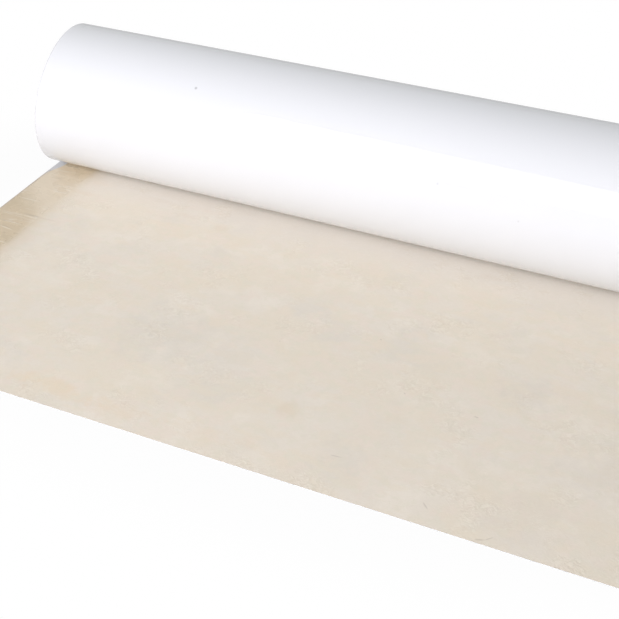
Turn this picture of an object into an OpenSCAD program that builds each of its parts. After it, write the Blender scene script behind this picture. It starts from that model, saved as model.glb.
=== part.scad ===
// Roll of plastic waterproofing membrane, partly unrolled.
// The sheet lies face up on the floor, passes under the roll, climbs its back and is wound
// towards the bore, so that the carrier is outside and the adhesive face inside.
// Millimetres, +Z up, +X along the roll, the tail runs towards -Y.
// Origin: middle of the footprint, on the floor.

/* [Sheet] */
// Width of the sheet, which is the length of the roll
sheet_w = 1200; // [600:50:2000]
// Length of the sheet as sold, with the part that is unrolled
sheet_len = 25000; // [10000:500:40000]
// Thickness of the sheet
sheet_t = 1.5; // [1.2:0.1:2.4]

/* [Roll] */
// Diameter of the bore
bore_d = 76; // [60:1:120]
// Length unrolled on the floor, from under the axis to the cut end
tail_len = 595; // [250:5:1200]
// Distance that the top of the roll has slipped along the axis, from the sheet's edge
top_slip = 30; // [0:1:40]
// Distance that the front of the roll has slipped, from its back
front_slip = 18; // [0:1:40]

/* [Edges of the turns] */
// Width of the spiral groove between the rounded edges of neighbouring turns
groove_w = 0.5; // [0.3:0.1:0.6]
// Depth of the spiral groove
groove_depth = 1.5; // [0.5:0.1:3]

/* [Selvedge film] */
// Width of the release film over the lap adhesive
film_w = 72; // [50:1:120]
// Thickness of the release film
film_t = 0.1; // [0.05:0.05:0.2]
// Bare margin between the film and the edge of the sheet
film_inset = 3; // [0.5:0.5:10]

/* [Hidden] */
$fn = 96;

// Each turn adds the sheet and the film that is wound in with it.
pitch = sheet_t + film_t;
bore_r = bore_d / 2;
wound_len = sheet_len - tail_len;
// Outer radius where the tail meets the roll; it falls by one pitch over the last turn.
roll_r = sqrt(pow(bore_r, 2) + wound_len * pitch / PI) + pitch / 2;
// Whole turns, leaving out the innermost, which the bore's wall trims
turn_count = floor((roll_r - bore_r) / pitch) - 1;
// The tail's edges keep in line with the roll's ends where it leaves the floor.
tail_x = -top_slip / 2;
// The roll's axis stands behind the middle of the footprint.
axis_y = (tail_len - roll_r) / 2;
// Overlap that lets a cutter pass the face it opens
cut = 1;
// Length that the blank needs beyond the roll's mean end
blank_extra = top_slip + front_slip;

// Turns a shape that stands along Z so that it lies along X, with its X-Y in the Y-Z plane.
module along_x() {
    rotate([90, 0, 90]) children();
}

// Half of a disc: side 1 is the back half and -1 the front half.
module half_disc(side, r) {
    intersection() {
        circle(r);
        translate([side * r, 0]) square([2 * r, 3 * r], center = true);
    }
}

// One half turn of the sheet's outer face, counted from the outermost. Each half is half a
// pitch smaller than the one before, about a centre that is half a pitch higher or lower,
// so that the halves meet smoothly.
module half_turn(half, inset = 0) {
    side = half % 2 == 0 ? 1 : -1;
    translate([0, half % 2 * pitch / 2]) half_disc(side, roll_r - half * pitch / 2 - inset);
}

// The groove that follows the sheet's inner face from the tail to the innermost turn
module spiral_groove() {
    for (half = [0 : 2 * turn_count - 1]) difference() {
        half_turn(half, pitch - groove_w);
        half_turn(half, pitch);
    }
}

// Trims one end of the blank square to the leaning axis and cuts the groove into it.
module end_cutter(side) {
    translate([0, 0, side * blank_extra])
        cylinder(r = 2 * roll_r, h = 2 * blank_extra, center = true);
    linear_extrude(2 * groove_depth, center = true) spiral_groove();
}

// The wound roll, centred on its axis
module roll() {
    lean_up = atan(top_slip / (2 * roll_r));
    lean_front = atan(front_slip / (2 * roll_r));
    difference() {
        along_x() linear_extrude(sheet_w + 2 * blank_extra, center = true) {
            half_turn(0);
            half_turn(1);
        }
        along_x() cylinder(r = bore_r, h = sheet_w + 2 * (blank_extra + cut), center = true);
        for (side = [-1, 1]) translate([side * sheet_w / 2, 0, 0])
            rotate([0, lean_up, lean_front]) along_x() end_cutter(side);
    }
}

module membrane() {
    color([0.95, 0.95, 0.94]) translate([0, axis_y, 0]) {
        translate([0, 0, roll_r]) roll();
        translate([tail_x - sheet_w / 2, -tail_len, 0]) cube([sheet_w, tail_len + cut, sheet_t]);
    }
}

// The release film lies on the tail and follows it under the roll.
module selvedge_film() {
    color([0.80, 0.73, 0.62])
        translate([tail_x - sheet_w / 2 + film_inset, axis_y - tail_len, sheet_t])
            cube([film_w, tail_len, film_t]);
}

membrane();
selvedge_film();
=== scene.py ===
"""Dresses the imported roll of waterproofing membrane.

The sheet is built as the one long ribbon that it is: flat on the floor with its adhesive
face up, then round the roll, turn by turn, down to the bore. A thin release film covers
the lap along one edge. Metres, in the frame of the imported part: +X runs along the roll,
the sheet unrolls towards -Y and +Z is up.
"""

import logging
import math
from dataclasses import dataclass, field
from enum import Enum
from typing import Any, Optional, Sequence, Union

import bpy
import numpy as np
from mathutils import Euler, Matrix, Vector, noise

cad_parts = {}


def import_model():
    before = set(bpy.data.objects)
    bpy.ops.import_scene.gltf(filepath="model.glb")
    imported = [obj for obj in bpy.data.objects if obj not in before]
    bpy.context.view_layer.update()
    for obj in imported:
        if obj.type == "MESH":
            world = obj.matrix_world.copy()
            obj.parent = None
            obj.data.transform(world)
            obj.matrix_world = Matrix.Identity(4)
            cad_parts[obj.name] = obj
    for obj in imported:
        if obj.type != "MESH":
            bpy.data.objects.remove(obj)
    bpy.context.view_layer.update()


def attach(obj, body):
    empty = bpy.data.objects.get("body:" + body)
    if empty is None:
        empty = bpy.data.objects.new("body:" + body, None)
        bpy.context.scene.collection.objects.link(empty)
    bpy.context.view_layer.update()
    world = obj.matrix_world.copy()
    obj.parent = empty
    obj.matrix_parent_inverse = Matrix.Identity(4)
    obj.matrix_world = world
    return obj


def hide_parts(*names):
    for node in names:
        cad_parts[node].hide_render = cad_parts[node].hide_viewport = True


log = logging.getLogger("membrane_roll")

MM = 0.001
# How far a pattern moves along each axis for each step of its shift.
PATTERN_STEP = (1.7, 2.3, 0.9)
WHITE = (1.0, 1.0, 1.0)

Number = Union[int, float]
Colour = tuple[float, float, float]
Point = tuple[float, float, float]


# ---------------------------------------------------------------- shader expressions


class Socket:
    """One output of a shader node, which can stand in an arithmetic expression."""

    def __init__(self, painter: "Painter", node: bpy.types.Node, output: Union[int, str] = 0) -> None:
        """Wraps one output.

        Args:
            painter: The painter whose tree holds the node.
            node: The node.
            output: The output's name or number.
        """
        self.painter = painter
        self.node = node
        self.output = output

    @property
    def link(self) -> bpy.types.NodeSocket:
        """The socket itself."""
        return self.node.outputs[self.output]

    def other(self, output: Union[int, str]) -> "Socket":
        """Returns another output of the same node."""
        return Socket(self.painter, self.node, output)

    def _math(self, operation: str, *operands: Any) -> "Socket":
        """Returns the result of one Math node."""
        return self.painter.node("Math", *operands, settings={"operation": operation})

    def __add__(self, other: Any) -> "Socket":
        """Returns self + other."""
        return self._math("ADD", self, other)

    def __radd__(self, other: Number) -> "Socket":
        """Returns other + self."""
        return self._math("ADD", other, self)

    def __sub__(self, other: Any) -> "Socket":
        """Returns self - other."""
        return self._math("SUBTRACT", self, other)

    def __rsub__(self, other: Number) -> "Socket":
        """Returns other - self."""
        return self._math("SUBTRACT", other, self)

    def __mul__(self, other: Any) -> "Socket":
        """Returns self * other."""
        return self._math("MULTIPLY", self, other)

    def __rmul__(self, other: Number) -> "Socket":
        """Returns other * self."""
        return self._math("MULTIPLY", other, self)

    def __truediv__(self, other: Any) -> "Socket":
        """Returns self / other."""
        return self._math("DIVIDE", self, other)

    def __rtruediv__(self, other: Number) -> "Socket":
        """Returns other / self."""
        return self._math("DIVIDE", other, self)

    def __abs__(self) -> "Socket":
        """Returns the absolute value."""
        return self._math("ABSOLUTE", self)

    def step(self, low: Number, high: Number) -> "Socket":
        """Rises smoothly from 0 at low to 1 at high, and falls where low is above high.

        Args:
            low: The value that gives 0.
            high: The value that gives 1.

        Returns:
            The eased value.
        """
        ends = (low, high, 0.0, 1.0) if low < high else (high, low, 1.0, 0.0)
        return self.painter.node("MapRange", self, *ends, output="Result",
                                 settings={"interpolation_type": "SMOOTHSTEP"})


class Painter:
    """Builds the nodes of one material or world from node calls and socket expressions."""

    def __init__(self, owner: Union[bpy.types.Material, bpy.types.World]) -> None:
        """Starts an empty node tree.

        Args:
            owner: The material or the world.
        """
        owner.use_nodes = True
        self.owner = owner
        self.tree = owner.node_tree
        self.tree.nodes.clear()

    def feed(self, slot: bpy.types.NodeSocket, value: Any) -> None:
        """Links a socket expression into an input, or sets the input's own value.

        Args:
            slot: The input.
            value: A socket expression, a number or a tuple of numbers.
        """
        if isinstance(value, Socket):
            self.tree.links.new(value.link, slot)
        elif slot.type == "RGBA":
            slot.default_value = (*value, 1.0)
        else:
            slot.default_value = value

    def node(self, kind: str, *inputs: Any, settings: Optional[dict[str, Any]] = None,
             output: Union[int, str] = 0, **named: Any) -> Socket:
        """Adds any node.

        Args:
            kind: The node's type, without its "ShaderNode" prefix.
            inputs: Values or links of its first sockets, in the node's order.
            settings: Attributes that are set before the sockets.
            output: The output to return.
            named: Values or links by socket name, with _ for a space.

        Returns:
            The chosen output.
        """
        node = self.tree.nodes.new("ShaderNode" + kind)
        for key, value in (settings or {}).items():
            setattr(node, key, value)
        for slot, value in zip(node.inputs, inputs):
            self.feed(slot, value)
        for key, value in named.items():
            self.feed(node.inputs[key.replace("_", " ")], value)
        return Socket(self, node, output)

    def place(self, scale: Sequence[float] = (1, 1, 1), turn: Number = 0.0,
              shift: Number = 0.0) -> Socket:
        """Gives the point being shaded, in the part's frame.

        Args:
            scale: Stretches the point, to draw a pattern out along an axis.
            turn: Degrees by which the pattern is turned about Z.
            shift: Moves to another part of the pattern, so that two patterns differ.

        Returns:
            The point.
        """
        point = self.node("TexCoord", output="Object")
        return self.node("Mapping", Vector=point, Scale=tuple(scale),
                         Rotation=(0.0, 0.0, math.radians(turn)),
                         Location=tuple(shift * amount for amount in PATTERN_STEP))

    def axes(self) -> tuple[Socket, Socket, Socket]:
        """Returns the shaded point's three coordinates."""
        split = self.node("SeparateXYZ", self.node("TexCoord", output="Object"))
        return split, split.other("Y"), split.other("Z")

    def sight(self) -> tuple[Socket, Socket]:
        """Tells how a point is seen.

        Returns:
            1 where the camera sees it directly, and 1 where it is seen in a mirror or
            through glass.
        """
        camera = self.node("LightPath", output="Is Camera Ray")
        mirrored = camera.other("Is Glossy Ray") + camera.other("Is Transmission Ray")
        return camera, mirrored.step(0.0, 1.0)

    def clouds(self, size: Number, detail: Number = 3.0, roughness: Number = 0.5,
               stretch: Sequence[float] = (1, 1, 1), turn: Number = 0.0,
               warp: Number = 0.0, shift: Number = 0.0) -> Socket:
        """Gives soft noise from 0 to 1.

        Args:
            size: The size of its patches.
            detail: The number of finer layers.
            roughness: The weight of the finer layers.
            stretch: Draws the patches out along each axis by this much.
            turn: Degrees by which they are turned about Z.
            warp: How far the noise distorts itself.
            shift: Picks another part of the noise.

        Returns:
            The noise.
        """
        where = self.place([1 / amount for amount in stretch], turn, shift)
        return self.node("TexNoise", Vector=where, Scale=1 / size, Detail=detail,
                         Roughness=roughness, Distortion=warp)

    def wander(self, size: Number, reach: Number, **pattern: Any) -> Socket:
        """Returns noise from -reach to reach, which makes an outline stray."""
        return self.clouds(size, **pattern) * (2 * reach) - reach

    def creases(self, size: Number, sharpness: Number, stretch: Sequence[float] = (1, 1, 1),
                turn: Number = 0.0, shift: Number = 0.0) -> Socket:
        """Returns thin wandering lines of a size apart, 1 along their middle and 0 beside them."""
        soft = self.clouds(size, roughness=0.55, stretch=stretch, turn=turn, warp=0.6, shift=shift)
        return (abs(soft - 0.5) * sharpness).step(1.0, 0.0)

    def dots(self, spacing: Number, radius: Number, share: Number) -> Socket:
        """Gives small scattered dots.

        Args:
            spacing: The mean distance between the places where a dot may be.
            radius: A dot's radius.
            share: The share of those places that have a dot.

        Returns:
            The dots, 1 inside and 0 outside.
        """
        ragged = self.clouds(radius * 1.5, detail=1.0) * (radius * 0.9)
        cells = self.node("TexVoronoi", Vector=self.place(), Scale=1 / spacing)
        chosen = self.node("SeparateColor", cells.other("Color")).step(share + 0.001, share)
        return (cells * spacing + ragged).step(radius * 1.3, radius * 0.9) * chosen

    def blend(self, factor: Any, first: Any, second: Any) -> Socket:
        """Returns two colours mixed: the first at a factor of 0, and the second at 1."""
        return self.node("Mix", settings={"data_type": "RGBA"}, output="Result",
                         Factor=factor, A=first, B=second)

    def relief(self, height: Socket, depth: Number, under: Optional[Socket] = None) -> Socket:
        """Returns the normal of a height from 0 to 1, times a depth in metres, over another normal."""
        below = {} if under is None else {"Normal": under}
        return self.node("Bump", Height=height, Distance=depth, Strength=1.0, **below)

    def finish(self, colour: Any, roughness: Any, normal: Socket, **constants: Any) -> bpy.types.Material:
        """Closes the material with a Principled shader.

        Args:
            colour: The base colour.
            roughness: The roughness.
            normal: The normal, with its relief.
            constants: Other sockets of the shader, with _ for a space.

        Returns:
            The material.
        """
        shader = self.node("BsdfPrincipled", Base_Color=colour, Roughness=roughness, Normal=normal,
                           **constants)
        self.node("OutputMaterial", Surface=shader)
        return self.owner


def from_screen(red: int, green: int, blue: int) -> Colour:
    """Turns a colour as a screen shows it into the linear one that shaders take.

    Args:
        red: 0 to 255.
        green: 0 to 255.
        blue: 0 to 255.

    Returns:
        The linear colour.
    """
    def linear(value: int) -> float:
        """Returns one channel without the screen's curve."""
        share = value / 255
        return share / 12.92 if share <= 0.04045 else ((share + 0.055) / 1.055) ** 2.4

    return linear(red), linear(green), linear(blue)


# ---------------------------------------------------------------- sizes


@dataclass(frozen=True)
class Stock:
    """The sheet's, the roll's and the film's sizes, as the part's source has them.

    The last three are of the bare wedge that the film has left next to the roll, where it
    has shifted: its width, and its start and end in front of the roll's axis.
    """

    sheet_w: float = 1200 * MM
    sheet_len: float = 25000 * MM
    sheet_t: float = 1.5 * MM
    bore_r: float = 38 * MM
    tail_len: float = 595 * MM
    top_slip: float = 30 * MM
    front_slip: float = 18 * MM
    film_w: float = 72 * MM
    film_t: float = 0.1 * MM
    film_inset: float = 3 * MM
    wedge_w: float = 13 * MM
    wedge_from: float = 84 * MM
    wedge_to: float = 40 * MM

    @property
    def pitch(self) -> float:
        """How much the roll's radius grows with each turn."""
        return self.sheet_t + self.film_t

    @property
    def roll_r(self) -> float:
        """The roll's outer radius where the tail meets it."""
        wound = (self.sheet_len - self.tail_len) * self.pitch / math.pi
        return math.sqrt(self.bore_r ** 2 + wound) + self.pitch / 2

    @property
    def axis_y(self) -> float:
        """How far the roll's axis stands behind the middle of the footprint."""
        return (self.tail_len - self.roll_r) / 2

    @property
    def turns(self) -> float:
        """The number of turns from the floor to the bore."""
        return (self.roll_r - self.sheet_t - self.bore_r) / self.pitch

    @property
    def tail_left(self) -> float:
        """The X of the tail's edge on the selvedge side."""
        return -(self.sheet_w + self.top_slip) / 2

    @property
    def film_right(self) -> float:
        """The X of the film's inner edge on the tail."""
        return self.tail_left + self.film_inset + self.film_w

    @property
    def cut_y(self) -> float:
        """The Y of the tail's cut end."""
        return self.axis_y - self.tail_len

    def edge_on_roll(self, y: float, z: float) -> float:
        """Returns the X of the sheet's leaning left edge, at a Y and Z from the roll's axis."""
        lean = (self.top_slip * z - self.front_slip * y) / (2 * self.roll_r)
        return lean - self.sheet_w / 2


# ---------------------------------------------------------------- marks on the sheet


@dataclass(frozen=True)
class Speck:
    """A dark speck on the roll: millimetres along it and degrees up its front."""

    along: float
    angle: float
    radius: float
    strength: float

    def drawn(self, p: Painter, stock: Stock) -> Socket:
        """Gives the speck.

        Args:
            p: The painter of the material that shows it.
            stock: The roll's sizes.

        Returns:
            The speck, from its strength in the middle to 0 past its rim.
        """
        x, y, z = p.axes()
        high = math.radians(self.angle)
        across = x - self.along * MM
        back = y - stock.axis_y + stock.roll_r * math.cos(high)
        up = z - stock.roll_r * (1 + math.sin(high))
        rim = self.radius * MM * 1.5
        return (across * across + back * back + up * up).step(rim * rim, 0.0) * self.strength


@dataclass(frozen=True)
class Stroke:
    """A thin line on the tail, such as a scratch or the painted shade along a fold, in millimetres."""

    x: float
    y: float
    end_x: float
    end_y: float
    width: float = 1.2
    bow: float = 0.0

    def drawn(self, p: Painter) -> Socket:
        """Gives the line.

        Args:
            p: The painter of the material that shows it.

        Returns:
            The line, 1 along its middle and 0 beside it and past its ends.
        """
        x, y, _ = p.axes()
        share = (x - self.x * MM) / ((self.end_x - self.x) * MM)
        taper = share.step(0.0, 0.3) * share.step(1.0, 0.6)
        middle = share * ((self.end_y - self.y) * MM) + self.y * MM
        sag = share * (1.0 - share) * (4 * self.bow * MM)
        return abs(y - middle - sag).step(self.width * MM, 0.0) * taper


@dataclass(frozen=True)
class Stain:
    """A ragged patch of another colour on the tail, in millimetres."""

    x: float
    y: float
    width: float
    length: float
    colour: Colour
    strength: float

    def drawn(self, p: Painter, wander: Socket) -> Socket:
        """Gives the stain.

        Args:
            p: The painter of the material that shows it.
            wander: Noise about 0 that makes its outline ragged.

        Returns:
            The stain, from its strength in the middle to 0 past its outline.
        """
        x, y, _ = p.axes()
        across = (x - self.x * MM) / (self.width * MM / 2)
        along = (y - self.y * MM) / (self.length * MM / 2)
        return (across * across + along * along + wander).step(2.2, -0.4) * self.strength


@dataclass(frozen=True)
class Mottle:
    """One layer of soft patches in the coat, which show where its noise passes a range."""

    colour: Colour
    size: float
    shows: tuple[float, float]
    strength: float
    shift: float
    detail: float = 4.0
    stretch: Sequence[float] = (1, 1, 1)
    turn: float = 0.0

    def drawn(self, p: Painter) -> Socket:
        """Returns the patches, from 0 between them to the layer's strength."""
        soft = p.clouds(self.size, self.detail, stretch=self.stretch, turn=self.turn, shift=self.shift)
        return soft.step(*self.shows) * self.strength


# ---------------------------------------------------------------- finishes


class Skin(Enum):
    """The surfaces of the sheet, in the order of its material slots."""

    CARRIER = 0
    COAT = 1
    ADHESIVE = 2


@dataclass(frozen=True)
class CarrierFinish:
    """Smooth white plastic, glossy, with the faint waviness of extruded sheet."""

    stock: Stock
    white: Colour = (0.803, 0.819, 0.838)
    shade: Colour = (0.783, 0.797, 0.814)
    speck: Colour = (0.16, 0.16, 0.18)
    grime: Colour = (0.42, 0.43, 0.45)
    trim_w: float = 1.8 * MM
    wave_depth: float = 0.25 * MM
    grain_depth: float = 0.008 * MM
    specks: tuple[Speck, ...] = (
        Speck(-312, 53, 2.0, 0.40),
        Speck(96, 21, 1.5, 0.14),
        Speck(219, 7, 1.4, 0.14),
    )

    def trimmed(self, p: Painter) -> Socket:
        """Gives the grey line that the trimming has left along the sheet's two edges.

        Args:
            p: The material's painter.

        Returns:
            The line, 1 at the edges and 0 past its width.
        """
        x, y, z = p.axes()
        s = self.stock
        lean_z = (z - s.roll_r) * (s.top_slip / (2 * s.roll_r))
        lean_y = (y - s.axis_y) * (s.front_slip / (2 * s.roll_r))
        wound = y.step(s.axis_y - s.roll_r - 1 * MM, s.axis_y - s.roll_r)
        middle = lean_z - lean_y * wound
        return (abs(x - middle) - s.sheet_w / 2).step(-self.trim_w, -self.trim_w / 2)

    def make(self) -> bpy.types.Material:
        """Makes the finish.

        Returns:
            The material.
        """
        p = Painter(bpy.data.materials.new("white_carrier"))
        patches = p.clouds(300 * MM, detail=2.0, stretch=(2.5, 1, 1)).step(0.35, 0.75)
        grain = p.clouds(1.6 * MM, detail=2.0)
        colour = p.blend(patches * 0.5, self.white, self.shade)
        colour = p.blend(p.dots(160 * MM, 0.9 * MM, share=0.3) * 0.4, colour, self.speck)
        for speck in self.specks:
            colour = p.blend(speck.drawn(p, self.stock), colour, self.speck)
        colour = p.blend(self.trimmed(p) * 0.3, colour, self.grime)
        scuffs = p.clouds(50 * MM, detail=5.0, roughness=0.65, stretch=(5, 1, 1)).step(0.5, 0.8)
        roughness = 0.05 + scuffs * 0.07 + grain * 0.02
        waves = p.clouds(110 * MM, detail=1.0, stretch=(4, 1, 1))
        normal = p.relief(grain, self.grain_depth, p.relief(waves, self.wave_depth))
        return p.finish(colour, roughness, normal, Specular_IOR_Level=0.3, IOR=1.5)


@dataclass(frozen=True)
class LapBand:
    """Where the lap adhesive shows, and the stretch where a sheen is painted on the film and the band's
    edge is softer.
    """

    stock: Stock
    spread: float = 2 * MM
    crisp: float = 11 * MM
    soft: float = 19 * MM
    thin: float = 45 * MM
    overlap: float = 5 * MM
    sheen_from: float = 61 * MM
    sheen_to: float = 166 * MM
    sheen_rise: float = 80 * MM
    sheen_fall: float = 30 * MM
    bare_fade: float = 1.5 * MM
    # painted shade: a dark line along the crease in the film
    fold_shade: Stroke = Stroke(-576, 31, -494, 32, 3.4, -2.5)

    def sheen_and_soft_edge(self, p: Painter) -> Socket:
        """Gives the stretch where a sheen is painted on the film and the band's edge is softer.

        Args:
            p: The material's painter.

        Returns:
            1 in that stretch, and 0 outside it.
        """
        x, y, _ = p.axes()
        along = y + p.wander(50 * MM, 15 * MM, detail=2.0, shift=1)
        across = x - self.stock.tail_left
        start = (along + across).step(self.sheen_from, self.sheen_from + self.sheen_rise)
        return start * (along + across * 0.2).step(self.sheen_to + self.sheen_fall, self.sheen_to)

    def shows(self, p: Painter) -> Socket:
        """Gives the band.

        Args:
            p: The material's painter.

        Returns:
            1 on the lap adhesive, and 0 on the coat beyond it.
        """
        x, _, _ = p.axes()
        edge = self.stock.film_right + self.spread
        # the band's edge is softer in the sheen stretch
        reach = self.sheen_and_soft_edge(p) * (self.soft - self.crisp) + self.crisp
        wander = p.wander(40 * MM, 8 * MM, detail=4.0, shift=7)
        return ((wander - x + edge) / reach).step(-1.0, 1.0)

    def thins(self, p: Painter) -> Socket:
        """Gives where the coat thins out beside the lap.

        Args:
            p: The material's painter.

        Returns:
            1 at the lap, and 0 past the thin stretch.
        """
        x, _, _ = p.axes()
        edge = self.stock.film_right
        return x.step(edge + self.thin, edge - self.overlap)

    def bare_in_painted_shade(self, p: Painter) -> Socket:
        """Gives the uncoated margin beside the film, whose colour is painted shade next to the roll.

        Args:
            p: The material's painter.

        Returns:
            1 along the sheet's edge, and 0 past the margin.
        """
        x, y, _ = p.axes()
        s = self.stock
        widening = y.step(s.axis_y - s.wedge_from, s.axis_y - s.wedge_to) * s.wedge_w
        ragged = p.wander(7 * MM, 3.5 * MM, shift=8)
        inside = x + ragged - widening - s.tail_left
        return inside.step(s.film_inset + self.bare_fade, s.film_inset)


@dataclass(frozen=True)
class CoatFinish:
    """The beige adhesive face under its thin, patchy coat, which thins out at the lap."""

    stock: Stock
    body: Colour = from_screen(232, 224, 210)
    ochre: Colour = from_screen(232, 221, 200)
    grey: Colour = from_screen(225, 218, 205)
    light: Colour = from_screen(238, 230, 216)
    rose: Colour = from_screen(234, 222, 207)
    moss: Colour = from_screen(228, 222, 204)
    # painted light: a paler tone laid on the coat next to the roll, against the shade there
    fresh_and_painted_light: Colour = from_screen(238, 232, 223)
    # painted highlight on the coat's raised crinkles
    painted_crinkle_highlight: Colour = from_screen(243, 236, 221)
    # painted shade, used in the coat's sunken hollows and along the film's fold
    dark: Colour = from_screen(215, 203, 184)
    dirt: Colour = from_screen(112, 100, 88)
    lap: Colour = from_screen(212, 197, 170)
    # painted sheen: the paler lap tone in the sheen stretch
    painted_sheen: Colour = from_screen(223, 210, 187)
    # painted shade: white plastic coloured blue-grey as if in shade, used next to the roll
    bare_in_painted_shade: Colour = from_screen(211, 212, 214)
    rim: Colour = from_screen(196, 184, 168)
    painted_light_from: float = 150 * MM
    painted_light_to: float = 55 * MM
    bare_from: float = 100 * MM
    bare_to: float = 60 * MM
    swell_depth: float = 0.25 * MM
    crinkle_depth: float = 0.12 * MM
    grain_depth: float = 0.05 * MM
    stains: tuple[Stain, ...] = (
        Stain(-193, -165, 105, 110, from_screen(217, 212, 201), 0.33),
        Stain(-90, -180, 80, 90, from_screen(222, 216, 205), 0.33),
        Stain(-273, -322, 120, 26, from_screen(232, 212, 180), 0.39),
        Stain(-165, -322, 110, 22, from_screen(232, 211, 184), 0.3),
        Stain(-45, -318, 120, 30, from_screen(234, 215, 188), 0.28),
        Stain(33, -238, 26, 34, from_screen(214, 198, 168), 0.22),
        Stain(305, -79, 80, 60, from_screen(217, 210, 199), 0.36),
        Stain(129, -284, 60, 50, from_screen(219, 213, 202), 0.33),
        Stain(364, -300, 90, 90, from_screen(222, 213, 200), 0.28),
        Stain(440, -190, 110, 80, from_screen(220, 212, 202), 0.3),
        Stain(179, 164, 30, 12, from_screen(214, 184, 152), 0.3),
        Stain(60, 186, 150, 12, from_screen(226, 203, 178), 0.25),
        Stain(-320, 179, 160, 22, from_screen(231, 208, 178), 0.28),
        Stain(-385, 156, 44, 10, from_screen(216, 198, 172), 0.34),
        Stain(-317, 131, 39, 12, from_screen(218, 200, 178), 0.3),
        Stain(-301, 159, 65, 13, from_screen(233, 209, 188), 0.4),
        Stain(-500, 169, 46, 17, from_screen(240, 212, 178), 0.35),
        Stain(-256, 121, 24, 18, from_screen(218, 198, 172), 0.2),
        Stain(-514, 126, 57, 13, from_screen(230, 208, 184), 0.35),
        Stain(-448, -72, 110, 130, from_screen(241, 234, 220), 0.36),
        Stain(-440, 110, 140, 90, from_screen(238, 230, 216), 0.25),
    )
    marks: tuple[Stroke, ...] = (
        Stroke(83, -47, 87, -49, 1.7),
        Stroke(154, -143, 158, -145, 1.7),
        Stroke(252, -150, 260, -151, 1.6),
        Stroke(244, -321, 255, -331, 2.4),
        Stroke(317, -353, 330, -349, 2.2),
        Stroke(328, -350, 338, -340, 1.8),
        Stroke(112, -292, 130, -290, 1.4),
    )

    def mottles(self) -> tuple[Mottle, ...]:
        """Lists the layers of soft patches.

        Returns:
            The layers, in the order in which they are laid.
        """
        return (
            Mottle(self.ochre, 90 * MM, (0.42, 0.60), 0.50, shift=1, stretch=(1.5, 1, 1), turn=20),
            Mottle(self.grey, 100 * MM, (0.50, 0.66), 0.65, shift=2, detail=5.0),
            Mottle(self.light, 55 * MM, (0.50, 0.64), 0.50, shift=12),
            Mottle(self.rose, 35 * MM, (0.50, 0.62), 0.60, shift=3),
            Mottle(self.ochre, 22 * MM, (0.48, 0.62), 0.40, shift=4, stretch=(2, 1, 1), turn=25),
            Mottle(self.moss, 16 * MM, (0.52, 0.62), 0.45, shift=11, detail=3.0),
        )

    def patchy(self, p: Painter) -> Socket:
        """Paints the coat with its soft patches and stains, and with painted light that makes it paler
        next to the roll.

        Args:
            p: The material's painter.

        Returns:
            The colour.
        """
        colour = self.body
        for mottle in self.mottles():
            colour = p.blend(mottle.drawn(p), colour, mottle.colour)
        wander = p.wander(24 * MM, 3.5, detail=5.0, roughness=0.6, shift=13)
        for stain in self.stains:
            colour = p.blend(stain.drawn(p, wander), colour, stain.colour)
        _, y, _ = p.axes()
        near = self.stock.axis_y - y
        # painted light: the coat turns paler near the roll to lift the shade that falls next to it
        return p.blend(near.step(self.painted_light_from, self.painted_light_to) * 0.8, colour, self.fresh_and_painted_light)

    def lapped(self, p: Painter, colour: Socket) -> Socket:
        """Lays the lap with its painted sheen, the painted shade along the fold in its film and the bare
        margin, painted in shade next to the roll, over the coat.

        Args:
            p: The material's painter.
            colour: The coat's colour.

        Returns:
            The colour of the whole face.
        """
        band = LapBand(self.stock)
        sheen_and_soft_edge = band.sheen_and_soft_edge(p)
        colour = p.blend(band.thins(p) * (0.4 - sheen_and_soft_edge * 0.3), colour, self.lap)
        # painted sheen: the lap turns paler in the sheen stretch
        colour = p.blend(band.shows(p), colour, p.blend(sheen_and_soft_edge * 0.95, self.lap, self.painted_sheen))
        # painted shade along the film's fold
        colour = p.blend(band.fold_shade.drawn(p) * 0.45, colour, self.dark)
        _, y, _ = p.axes()
        # painted shade: next to the roll the margin is blue-grey in place of the white plastic
        margin = p.blend((self.stock.axis_y - y).step(self.bare_from, self.bare_to), self.rim, self.bare_in_painted_shade)
        return p.blend(band.bare_in_painted_shade(p), colour, margin)

    def make(self) -> bpy.types.Material:
        """Makes the finish.

        Returns:
            The material.
        """
        p = Painter(bpy.data.materials.new("beige_coat"))
        clusters = p.clouds(75 * MM, detail=5.0, roughness=0.65, shift=5).step(0.51, 0.66) * 0.8 + 0.2
        crinkle = p.creases(12 * MM, sharpness=6.0) * clusters
        hollows = p.creases(10 * MM, sharpness=7.0, shift=6) * clusters
        # painted highlight on the raised crinkles and painted shade in the sunken hollows, which the
        # relief below raises and sinks
        colour = p.blend(crinkle * 0.35, self.patchy(p), self.painted_crinkle_highlight)
        colour = p.blend(hollows * 0.30, colour, self.dark)
        colour = p.blend(p.dots(45 * MM, 0.75 * MM, share=0.25) * 0.6, colour, self.dirt)
        for mark in self.marks:
            colour = p.blend(mark.drawn(p) * 0.22, colour, self.dirt)
        relief = p.relief(p.clouds(45 * MM, detail=4.0, shift=9), self.swell_depth)
        relief = p.relief(crinkle - hollows, self.crinkle_depth, relief)
        relief = p.relief(p.clouds(3.5 * MM, detail=2.0), self.grain_depth, relief)
        roughness = 0.60 + p.clouds(20 * MM) * 0.12
        return p.finish(self.lapped(p, colour), roughness, relief, Specular_IOR_Level=0.35)


@dataclass(frozen=True)
class AdhesiveFinish:
    """The cut edge of the adhesive layer: darker, and a little tacky."""

    fresh_and_painted_light: Colour = from_screen(196, 182, 158)
    aged: Colour = from_screen(168, 152, 128)

    def make(self) -> bpy.types.Material:
        """Makes the finish.

        Returns:
            The material.
        """
        p = Painter(bpy.data.materials.new("adhesive_edge"))
        ragged = p.clouds(4 * MM, detail=4.0, roughness=0.6)
        colour = p.blend(ragged.step(0.35, 0.65), self.fresh_and_painted_light, self.aged)
        return p.finish(colour, 0.38 + ragged * 0.2, p.relief(ragged, 0.1 * MM))


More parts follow.
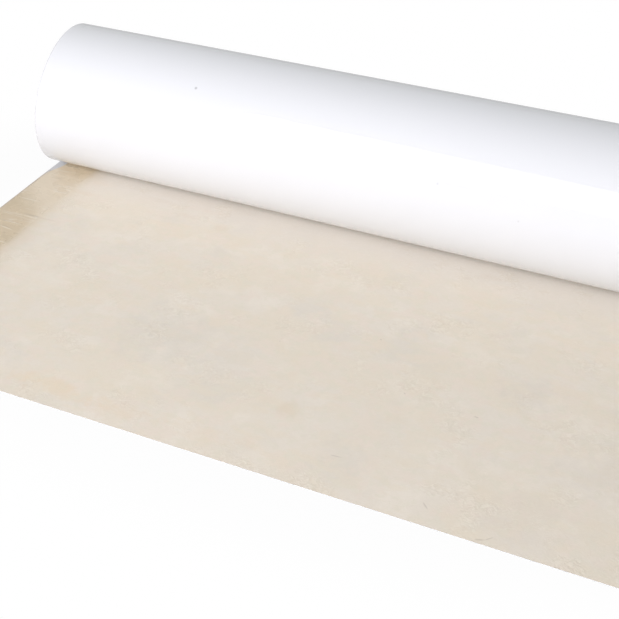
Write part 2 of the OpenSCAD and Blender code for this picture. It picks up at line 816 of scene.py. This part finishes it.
@dataclass(frozen=True)
class FilmFinish:
    """Glossy release film, through which the tan lap adhesive and the coat's edge show."""

    stock: Stock
    tan: Colour = from_screen(209, 192, 163)
    deep: Colour = from_screen(203, 187, 157)
    # painted sheen: the paler film tone in the sheen stretch
    painted_sheen: Colour = from_screen(223, 210, 187)
    # painted light: a paler film tone next to the roll, against the shade there
    fresh_and_painted_light: Colour = from_screen(225, 210, 184)
    coat: Colour = from_screen(232, 221, 202)
    scratch: Colour = from_screen(240, 234, 222)
    shadow: Colour = from_screen(178, 164, 142)
    painted_light_from: float = 90 * MM
    painted_light_to: float = 45 * MM
    crackle_depth: float = 0.10 * MM
    scratches: tuple[Stroke, ...] = (
        Stroke(-594, -3, -546, -3, 1.1, 2.0),
        Stroke(-584, -17, -548, -21, 0.9),
        Stroke(-610, 70, -560, 70, 1.0, 1.0),
        Stroke(-566, -54, -545, -56, 0.9),
    )

    def make(self) -> bpy.types.Material:
        """Makes the finish.

        Returns:
            The material.
        """
        p = Painter(bpy.data.materials.new("release_film"))
        band = LapBand(self.stock)
        tones = p.clouds(90 * MM, detail=2.0, stretch=(2.5, 1, 1), turn=-10, shift=2)
        colour = p.blend(tones.step(0.40, 0.65), self.tan, self.deep)
        # painted sheen: the film turns paler in the sheen stretch
        colour = p.blend(band.sheen_and_soft_edge(p) * 0.95, colour, self.painted_sheen)
        _, y, _ = p.axes()
        near = self.stock.axis_y - y
        # painted light: the film turns paler near the roll to lift the shade that falls next to it
        colour = p.blend(near.step(self.painted_light_from, self.painted_light_to) * 0.9, colour, self.fresh_and_painted_light)
        colour = p.blend(band.shows(p), self.coat, colour)
        # painted shade along the film's fold
        colour = p.blend(band.fold_shade.drawn(p) * 0.5, colour, self.shadow)
        patchy = p.clouds(50 * MM, shift=4).step(0.50, 0.60)
        crackle = p.creases(22 * MM, sharpness=26.0, stretch=(9.0, 1, 1), turn=-22, shift=3) * patchy
        colour = p.blend(crackle * 0.35, colour, self.scratch)
        for scratch in self.scratches:
            colour = p.blend(scratch.drawn(p) * 0.75, colour, self.scratch)
        roughness = 0.20 + p.clouds(30 * MM, detail=2.0) * 0.16
        return p.finish(colour, roughness, p.relief(crackle, self.crackle_depth), Specular_IOR_Level=0.5)


# ---------------------------------------------------------------- objects and meshes


def put(name: str, data: bpy.types.ID) -> bpy.types.Object:
    """Puts a mesh, a lamp or a camera into the scene.

    Args:
        name: The object's name.
        data: The mesh, lamp or camera.

    Returns:
        The object.
    """
    thing = bpy.data.objects.new(name, data)
    bpy.context.scene.collection.objects.link(thing)
    return thing


def smooth_mesh(name: str, points: Sequence[Point], faces: Sequence[Sequence[int]],
                materials: Sequence[bpy.types.Material], sharp_deg: float) -> bpy.types.Mesh:
    """Makes a mesh that is smooth but for its sharp edges.

    Args:
        name: The mesh's name.
        points: Its points.
        faces: The numbers of each face's points.
        materials: The materials of its slots.
        sharp_deg: The angle from which an edge is sharp.

    Returns:
        The mesh.
    """
    mesh = bpy.data.meshes.new(name)
    mesh.from_pydata(points, [], faces)
    for material in materials:
        mesh.materials.append(material)
    mesh.polygons.foreach_set("use_smooth", [True] * len(faces))
    mesh.set_sharp_from_angle(angle=math.radians(sharp_deg))
    return mesh


# ---------------------------------------------------------------- the sheet


@dataclass(frozen=True)
class Station:
    """One cross-section of the ribbon, at one place along its length."""

    outer: tuple[float, float]
    inward: tuple[float, float]
    left: float


class Side(Enum):
    """The four sides of the sheet's cross-section."""

    OUTER = 0
    RIGHT = 1
    INNER = 2
    LEFT = 3


@dataclass(frozen=True)
class Patch:
    """A rectangle of the baking map, and the rows of the ribbon that fill it."""

    left: float
    bottom: float
    right: float
    top: float
    first_row: int = 0
    last_row: int = 1
    turned: bool = False

    def place(self, across: float, row: float) -> tuple[float, float]:
        """Gives the place on the map.

        Args:
            across: 0 to 1 across the side.
            row: The cross-section's number.

        Returns:
            The place, with the ribbon's length running up, or to the right if turned.
        """
        along = (row - self.first_row) / (self.last_row - self.first_row)
        u, v = (along, across) if self.turned else (across, along)
        return self.left + (self.right - self.left) * u, self.bottom + (self.top - self.bottom) * v


@dataclass(frozen=True)
class OuterMap:
    """Lays the outer stretch out for baking, with the most room for the tail's coat."""

    tail_rows: int
    rows: int

    def find(self, row: int, side: Side) -> Patch:
        """Finds the patch that holds a row's side.

        Args:
            row: The row's number.
            side: The side of the cross-section.

        Returns:
            The patch.
        """
        if side is Side.RIGHT:
            return Patch(0.0, 0.955, 1.0, 0.965, 0, self.rows, turned=True)
        if side is Side.LEFT:
            return Patch(0.0, 0.970, 1.0, 0.980, 0, self.rows, turned=True)
        if row < self.tail_rows:
            corners = (0.0, 0.0, 1.0, 0.455) if side is Side.INNER else (0.0, 0.845, 0.49, 0.95)
            return Patch(*corners, 0, self.tail_rows)
        corners = (0.51, 0.845, 1.0, 0.95) if side is Side.INNER else (0.0, 0.46, 1.0, 0.84)
        return Patch(*corners, self.tail_rows, self.rows)

    def cap(self, far: bool) -> Patch:
        """Returns the patch of the near or the far end's face."""
        return Patch(0.51, 0.985, 1.0, 1.0) if far else Patch(0.0, 0.985, 0.49, 1.0)


@dataclass(frozen=True)
class InnerMap:
    """Lays the inner turns out for baking in strips, with the most room for their edges."""

    rows: int
    bore_rows: int
    strips: int = 24
    right: float = 0.86

    def find(self, row: int, side: Side) -> Patch:
        """Finds the patch that holds a row's side.

        Args:
            row: The row's number.
            side: The side of the cross-section.

        Returns:
            The patch: a lane of a strip, or the bore's own one beside the strips.
        """
        if side is Side.INNER and row >= self.rows - self.bore_rows:
            return Patch(0.87, 0.0, 1.0, 0.96, self.rows - self.bore_rows, self.rows)
        count = -(-self.rows // self.strips)
        strip, width = row // count, self.right / self.strips
        start, share = {Side.LEFT: (0.0, 0.30), Side.OUTER: (0.33, 0.14),
                        Side.INNER: (0.50, 0.14), Side.RIGHT: (0.67, 0.30)}[side]
        left = (strip + start) * width
        return Patch(left, 0.0, left + share * width, 1.0, strip * count, (strip + 1) * count)

    def cap(self, far: bool) -> Patch:
        """Returns the patch of the near or the far end's face."""
        return Patch(0.87, 0.985, 1.0, 1.0) if far else Patch(0.87, 0.965, 1.0, 0.98)


@dataclass
class Shell:
    """A mesh as it grows: its points, and each face's skin and places on the baking map."""

    points: list[Point]
    faces: list[tuple[int, ...]] = field(default_factory=list)
    skins: list[int] = field(default_factory=list)
    places: list[tuple[float, float]] = field(default_factory=list)

    def add(self, face: Sequence[int], skin: Skin, places: Sequence[tuple[float, float]]) -> None:
        """Adds one face.

        Args:
            face: The numbers of its points.
            skin: Its surface.
            places: The place of each corner on the baking map.
        """
        self.faces.append(tuple(face))
        self.skins.append(skin.value)
        self.places.extend(places)


@dataclass
class Ribbon:
    """A stretch of the sheet, as a closed mesh of cross-sections."""

    stock: Stock
    name: str
    stations: list[Station]
    columns: int
    bake_map: Union[OuterMap, InnerMap]
    bevel: float = 0.25 * MM
    carrier_share: float = 0.74
    sharp_deg: float = 30.0

    def outline(self) -> list[tuple[float, float]]:
        """Gives the cross-section, as the distance from the left edge and the depth.

        Returns:
            The outer face from left to right, the right edge, the inner face from right
            to left and the left edge.
        """
        width, t, b = self.stock.sheet_w, self.stock.sheet_t, self.bevel
        layer = t * self.carrier_share
        across = [b + (width - 2 * b) * i / self.columns for i in range(self.columns + 1)]
        outer = [(x, 0.0) for x in across] + [(width, b), (width, layer)]
        return outer + [(x, t) for x in reversed(across)] + [(0.0, layer), (0.0, b)]

    def ring(self, at: Station) -> list[Point]:
        """Returns the outline's points at one cross-section."""
        return [(at.left + x, at.outer[0] + n * at.inward[0], at.outer[1] + n * at.inward[1])
                for x, n in self.outline()]

    def sides(self) -> list[Side]:
        """Returns the side of each step round the cross-section."""
        k = self.columns
        return [Side.OUTER] * k + [Side.RIGHT] * 3 + [Side.INNER] * k + [Side.LEFT] * 3

    def skins(self) -> list[Skin]:
        """Returns the surface of each step round the cross-section."""
        k, white, tacky = self.columns, Skin.CARRIER, Skin.ADHESIVE
        return [white] * (k + 2) + [tacky] + [Skin.COAT] * k + [tacky] + [white] * 2

    def build(self, materials: Sequence[bpy.types.Material]) -> bpy.types.Object:
        """Builds the mesh.

        Args:
            materials: One for each Skin, in its order.

        Returns:
            The object.
        """
        flat = self.outline()
        size = len(flat)
        shell = Shell([point for at in self.stations for point in self.ring(at)])
        steps = list(zip(self.sides(), self.skins()))
        last = len(self.stations) - 1
        for row in range(last):
            near, far = row * size, (row + 1) * size
            for i, (side, skin) in enumerate(steps):
                j = (i + 1) % size
                patch = self.bake_map.find(row, side)
                axis = 0 if side in (Side.OUTER, Side.INNER) else 1
                whole = (self.stock.sheet_w, self.stock.sheet_t)[axis]
                low, high = flat[i][axis] / whole, flat[j][axis] / whole
                shell.add((near + i, far + i, far + j, near + j), skin,
                          [patch.place(low, row), patch.place(low, row + 1),
                           patch.place(high, row + 1), patch.place(high, row)])
        self._close(shell, 0, far=False)
        self._close(shell, last * size, far=True)
        mesh = smooth_mesh(self.name, shell.points, shell.faces, materials, self.sharp_deg)
        mesh.polygons.foreach_set("material_index", shell.skins)
        layer = mesh.uv_layers.new(name="OFBake")
        layer.data.foreach_set("uv", [value for place in shell.places for value in place])
        mesh.update()
        return put(self.name, mesh)

    def _close(self, shell: Shell, base: int, far: bool) -> None:
        """Closes one end of the ribbon with a white strip and an adhesive strip.

        Args:
            shell: The mesh, which gains the line between the strips and their faces.
            base: The number of the cross-section's first point.
            far: True at the far end, where the faces turn the other way.
        """
        k, s = self.columns, self.stock
        right_line, left_line = base + k + 2, base + 2 * k + 4
        spots = {base + i: (x / s.sheet_w, n / s.sheet_t) for i, (x, n) in enumerate(self.outline())}
        middle = [left_line]
        for i in range(1, k):
            low, high = shell.points[base + i], shell.points[base + 2 * k + 3 - i]
            middle.append(len(shell.points))
            shell.points.append(tuple(a + (b - a) * self.carrier_share for a, b in zip(low, high)))
            spots[middle[-1]] = (spots[base + i][0], self.carrier_share)
        middle.append(right_line)
        patch = self.bake_map.cap(far)

        def add(face: Sequence[int], skin: Skin) -> None:
            """Adds one face of the end."""
            turned = list(reversed(face)) if far else face
            shell.add(turned, skin, [patch.place(*spots[corner]) for corner in turned])

        for i in range(k):
            first = [left_line + 1] if i == 0 else []
            last = [base + k + 1] if i == k - 1 else []
            add([*first, base + i, base + i + 1, *last, middle[i + 1], middle[i]], Skin.CARRIER)
            add([middle[i], middle[i + 1], base + 2 * k + 2 - i, base + 2 * k + 3 - i], Skin.ADHESIVE)


@dataclass
class Membrane:
    """The whole sheet: the flat tail, the outer turns and the inner turns."""

    stock: Stock
    outer_turns: float = 1.5
    tail_rows: int = 60
    tail_columns: int = 60
    outer_steps: int = 160
    inner_steps: int = 96
    bore_steps: int = 60
    drift: float = 0.9 * MM
    drift_spread: float = 0.45
    drift_from: float = 0.9
    drifts_per_turn: int = 4
    seed: int = 7
    _drifts: np.ndarray = field(init=False)

    def __post_init__(self) -> None:
        """Draws how far each turn's edge has drifted, and two turns' values to spare."""
        draw = np.random.default_rng(self.seed)
        count = int(self.stock.turns * self.drifts_per_turn) + 2 * self.drifts_per_turn
        self._drifts = np.clip(draw.normal(0.0, self.drift_spread, count), -1.0, 1.0) * self.drift

    def edge_drift(self, angle: float) -> float:
        """Gives the drift of the sheet's edge at an angle along the spiral.

        Args:
            angle: Radians from the point under the axis, growing towards the bore.

        Returns:
            The drift, which grows from nothing once most of the outer turn is past.
        """
        turn = angle / math.tau
        at = turn * self.drifts_per_turn
        low = int(at)
        ease = (1 - math.cos((at - low) * math.pi)) / 2
        value = self._drifts[low] * (1 - ease) + self._drifts[low + 1] * ease
        return value * min(1.0, max(0.0, turn - self.drift_from))

    def wound(self, angle: float) -> Station:
        """Gives the cross-section at an angle along the spiral.

        Args:
            angle: Radians from the point under the axis, growing towards the bore.

        Returns:
            The cross-section. Each half turn is an arc half a pitch smaller than the one
            before it, about a centre that is half a pitch higher or lower.
        """
        s = self.stock
        half = min(int(angle / math.pi), int(2 * s.turns))
        radius = s.roll_r - half * s.pitch / 2
        rise = half % 2 * s.pitch / 2
        out_y, out_z = math.sin(angle), -math.cos(angle)
        y, z = radius * out_y, radius * out_z + rise
        left = s.edge_on_roll(y, z) + self.edge_drift(angle)
        return Station((s.axis_y + y, s.roll_r + z), (-out_y, -out_z), left)

    def flat(self, share: float) -> Station:
        """Returns a cross-section of the tail, from its cut end at 0 to under the axis at 1."""
        s = self.stock
        return Station((s.cut_y + s.tail_len * share, 0.0), (0.0, 1.0), s.tail_left)

    def build(self) -> list[bpy.types.Object]:
        """Builds both stretches of the sheet.

        Returns:
            The objects.
        """
        finishes = (CarrierFinish(self.stock), CoatFinish(self.stock), AdhesiveFinish())
        materials = [finish.make() for finish in finishes]
        split = self.outer_turns * math.tau
        steps = int(self.outer_steps * self.outer_turns)
        outer = [self.flat(i / self.tail_rows) for i in range(self.tail_rows)]
        outer += [self.wound(split * i / steps) for i in range(steps + 1)]
        inner, angle, end = [], split, self.stock.turns * math.tau
        while angle < end:
            inner.append(self.wound(angle))
            fewer = (self.inner_steps - self.bore_steps) * angle / end
            angle += math.tau / (self.inner_steps - fewer)
        inner.append(self.wound(end))
        outer_map = OuterMap(self.tail_rows, len(outer) - 1)
        inner_map = InnerMap(len(inner) - 1, self.bore_steps)
        return [
            Ribbon(self.stock, "sheet_outer", outer, self.tail_columns, outer_map).build(materials),
            Ribbon(self.stock, "sheet_inner_turns", inner, 1, inner_map).build(materials),
        ]


# ---------------------------------------------------------------- the release film


@dataclass(frozen=True)
class Crease:
    """One long wrinkle across the film."""

    start: tuple[float, float]
    end: tuple[float, float]
    height: float = 0.5 * MM
    width: float = 1.6 * MM
    bow: float = 1.5 * MM

    def lift(self, x: float, y: float) -> float:
        """Gives the wrinkle's height at a point.

        Args:
            x: The place across the sheet.
            y: The place along it.

        Returns:
            The height, which tapers to nothing at both ends.
        """
        share = (x - self.start[0]) / (self.end[0] - self.start[0])
        if not 0 < share < 1:
            return 0.0
        taper = math.sin(math.pi * share)
        middle = self.start[1] + (self.end[1] - self.start[1]) * share + self.bow * taper
        return self.height * taper * math.exp(-(((y - middle) / self.width) ** 2))


@dataclass
class ReleaseFilm:
    """The thin film over the lap adhesive, creased across where it has been pulled.

    Ridges and bulges say how fast the noise of the fine creases changes across the sheet and
    along it, and the ridges' skew how much they turn.
    """

    stock: Stock
    rows: int = 420
    columns: int = 26
    crease_height: float = 0.40 * MM
    ridges: tuple[float, float] = (9.0, 55.0)
    ridge_skew: float = 16.0
    bulges: tuple[float, float] = (22.0, 14.0)
    calm: float = 45 * MM
    rim: float = 5 * MM
    sharp_deg: float = 50.0
    long_creases: int = 13
    kept_clear: tuple[float, float] = (-275, -190)
    seed: int = 11
    _creases: list[Crease] = field(init=False)

    def __post_init__(self) -> None:
        """Lays out the long wrinkles: three listed, and the rest drawn along the film."""
        self._creases = [
            self.crease(8, -242, 62, -1),
            self.crease(20, -254, 46, -6),
            self.crease(36, -207, 38, -2, bow=-4 * MM),
        ]
        draw = np.random.default_rng(self.seed)
        low, high = self.kept_clear
        for _ in range(self.long_creases):
            start, length, y = draw.uniform(4, 30), draw.uniform(18, 45), draw.uniform(-585, -130)
            if low < y < high:
                continue
            self._creases.append(self.crease(
                start, y, length, draw.normal(0, 3), height=draw.uniform(0.2, 0.5) * MM,
                width=draw.uniform(1.0, 2.2) * MM, bow=draw.normal(0, 2) * MM))

    def crease(self, x: float, y: float, length: float, tilt: float, **shape: float) -> Crease:
        """Places a wrinkle, in millimetres from the sheet's edge and the roll's axis.

        Args:
            x: Its start across the sheet.
            y: Its start along the sheet.
            length: How far it runs across.
            tilt: How far it runs along meanwhile.
            shape: Its height, width and bow in metres, where they aren't the usual ones.

        Returns:
            The wrinkle.
        """
        edge, roll = self.stock.tail_left, self.stock.axis_y
        start = (edge + x * MM, roll + y * MM)
        return Crease(start, (edge + (x + length) * MM, roll + (y + tilt) * MM), **shape)

    def left(self, y: float) -> float:
        """Gives the film's outer edge.

        Args:
            y: The place along the sheet.

        Returns:
            The edge's X. It moves in where the film has shifted next to the roll.
        """
        s = self.stock
        share = (y - (s.axis_y - s.wedge_from)) / (s.wedge_from - s.wedge_to)
        share = max(0.0, min(1.0, share))
        return s.tail_left + s.film_inset + s.wedge_w * share * share * (3 - 2 * share)

    def height(self, x: float, y: float) -> float:
        """Gives the height of the film's creases above the sheet.

        Args:
            x: The place across the sheet.
            y: The place along it.

        Returns:
            The height, which dies away at the film's rim and next to the roll.
        """
        s = self.stock
        rim = min(x - self.left(y), s.film_right - x, y - s.cut_y) / self.rim
        fade = max(0.0, min(1.0, rim)) * max(0.0, min(1.0, (s.axis_y - y) / self.calm - 0.6))
        ridge = noise.noise(Vector((x * self.ridges[0], y * self.ridges[1] + x * self.ridge_skew, 0.3)))
        bulge = noise.noise(Vector((x * self.bulges[0], y * self.bulges[1], 4.1)))
        sharp = max(0.0, 1 - abs(ridge) * 5) ** 2
        fine = self.crease_height * (0.35 * sharp + 0.3 + 0.3 * bulge)
        return fade * (fine + sum(crease.lift(x, y) for crease in self._creases))

    def build(self) -> bpy.types.Object:
        """Builds the film as a closed thin mesh.

        Returns:
            The object.
        """
        s = self.stock
        top, under = [], []
        for row in range(self.rows + 1):
            y = s.cut_y + s.tail_len * row / self.rows
            left = self.left(y)
            for column in range(self.columns + 1):
                x = left + (s.film_right - left) * column / self.columns
                z = s.sheet_t + self.height(x, y)
                top.append((x, y, z + s.film_t))
                under.append((x, y, z))
        wide = self.columns + 1
        count = len(top)
        faces = []
        for row in range(self.rows):
            for column in range(self.columns):
                a = row * wide + column
                quad = (a, a + 1, a + wide + 1, a + wide)
                faces.append(quad)
                faces.append(tuple(count + i for i in reversed(quad)))
        last = self.rows * wide
        border = ([(i, i + 1) for i in range(self.columns)]
                  + [(last + i + 1, last + i) for i in range(self.columns)]
                  + [((r + 1) * wide, r * wide) for r in range(self.rows)]
                  + [(r * wide + self.columns, (r + 1) * wide + self.columns) for r in range(self.rows)])
        faces += [(b, a, count + a, count + b) for a, b in border]
        mesh = smooth_mesh("release_film", top + under, faces, [FilmFinish(s).make()], self.sharp_deg)
        mesh.validate()
        return put("release_film", mesh)


# ---------------------------------------------------------------- the studio


@dataclass(frozen=True)
class Lamp:
    """A soft rectangular lamp that looks at a point, and lights or is mirrored or both."""

    name: str
    place: Point
    size: tuple[float, float]
    watts: float
    target: Point = (0.0, 0.1, 0.1)
    tint: Colour = WHITE
    lights: bool = True
    mirrored: bool = True

    def build(self) -> None:
        """Puts the lamp into the scene."""
        light = bpy.data.lights.new(self.name, "AREA")
        light.shape = "RECTANGLE"
        light.size, light.size_y = self.size
        light.energy = self.watts
        light.color = self.tint
        lamp = put(self.name, light)
        lamp.location = self.place
        aim = Vector(self.target) - Vector(self.place)
        lamp.rotation_euler = aim.to_track_quat("-Z", "Y").to_euler()
        lamp.visible_diffuse = self.lights
        lamp.visible_glossy = self.mirrored


@dataclass
class Studio:
    """A white floor, an even surrounding light, a soft window and the camera.

    The window is two lamps, because what it lights and where it is mirrored in the roll are
    set apart. In a mirror the floor keeps more of its shading and the horizon is a little
    dusky, so that the top of the roll stands out against the white behind it. Near and far
    bound the ring round the part over which the floor's shading fades out.
    """

    stock: Stock
    floor_size: float = 14.0
    floor_gap: float = 0.2 * MM
    tones: tuple[Colour, Colour] = ((0.86, 0.86, 0.86), (0.88, 0.88, 0.88))
    near: float = 1.4
    far: float = 3.2
    glow: float = 0.93
    mirrored_glow: float = 0.2
    ambient: float = 0.45
    sky: Colour = (1.0, 1.01, 1.01)
    dusk: float = 0.24
    dusk_top: float = 0.5
    lens: float = 68.16
    sensor: float = 36.0
    clip: tuple[float, float] = (0.05, 60.0)
    pitch_deg: float = 35.79
    yaw_deg: float = 24.23
    reach: Point = (9.504, -12.742, 8.342)
    lamps: tuple[Lamp, ...] = (
        Lamp("window", (-1.01, -3.66, 2.35), (3.0, 2.4), 173.0, tint=(0.960, 0.932, 0.980),
             mirrored=False),
        Lamp("window_pane", (-1.01, -3.66, 2.80), (3.0, 2.9), 130.0, lights=False),
    )

    def build_floor(self) -> bpy.types.Object:
        """Builds a floor that looks white and still takes a faint shadow.

        Returns:
            The floor.
        """
        half = self.floor_size / 2
        corners = [(-half, -half), (half, -half), (half, half), (-half, half)]
        mesh = bpy.data.meshes.new("floor")
        mesh.from_pydata([(x, y, -self.floor_gap) for x, y in corners], [], [(0, 1, 2, 3)])
        p = Painter(bpy.data.materials.new("floor_white"))
        tone = p.blend(p.clouds(400 * MM, detail=2.0), *self.tones)
        matt = p.node("BsdfDiffuse", Color=tone)
        shining = p.node("Emission", Color=WHITE, Strength=1.0)
        x, y, _ = p.axes()
        across, along = x / (self.stock.sheet_w / 2), y / (self.stock.tail_len / 2)
        far = (across * across + along * along).step(self.near, self.far)
        camera, mirrored = p.sight()
        share = camera * (far * (1 - self.glow) + self.glow) + mirrored * self.mirrored_glow
        p.node("OutputMaterial", Surface=p.node("MixShader", share, matt, shining))
        mesh.materials.append(p.owner)
        return put("floor", mesh)

    def build_world(self) -> None:
        """Sets the surrounding light: even on matt surfaces, and white where it is seen."""
        p = Painter(bpy.data.worlds.new("studio"))
        camera, mirrored = p.sight()
        seen = camera + mirrored
        rise = p.node("SeparateXYZ", p.node("TexCoord", output="Generated"), output="Z")
        dusk = rise.step(self.dusk_top, 0.0) * self.dusk
        strength = seen * (1 - self.ambient) + self.ambient - mirrored * dusk
        tone = p.blend(seen, self.sky, WHITE)
        p.node("OutputWorld", Surface=p.node("Background", Color=tone, Strength=strength))
        bpy.context.scene.world = p.owner

    def build_camera(self) -> None:
        """Puts the camera into the scene, placed in roll radii from the roll's end."""
        s = self.stock
        data = bpy.data.cameras.new("camera")
        data.lens, data.sensor_width = self.lens, self.sensor
        data.clip_start, data.clip_end = self.clip
        camera = put("camera", data)
        x, y, z = (amount * s.roll_r for amount in self.reach)
        camera.location = (x - s.sheet_w / 2, y + s.axis_y, z)
        camera.rotation_euler = Euler((math.radians(90 - self.pitch_deg), 0.0, math.radians(self.yaw_deg)))
        bpy.context.scene.camera = camera

    def build(self) -> None:
        """Builds the floor, the light and the camera."""
        self.build_floor()
        self.build_world()
        for lamp in self.lamps:
            lamp.build()
        self.build_camera()


# ---------------------------------------------------------------- the scene


def main() -> None:
    """Builds the sheet, the film and the studio in order."""
    logging.basicConfig(level=logging.INFO, format="%(name)s: %(message)s")
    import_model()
    bpy.context.scene.view_settings.view_transform = "Standard"
    stock = Stock()
    for piece in Membrane(stock).build():
        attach(piece, "root")
        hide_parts("membrane")
        log.info("%s: %d faces", piece.name, len(piece.data.polygons))
    film = ReleaseFilm(stock).build()
    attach(film, "root")
    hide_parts("selvedge_film")
    log.info("%s: %d faces", film.name, len(film.data.polygons))
    Studio(stock).build()


if __name__ == "__main__":
    main()
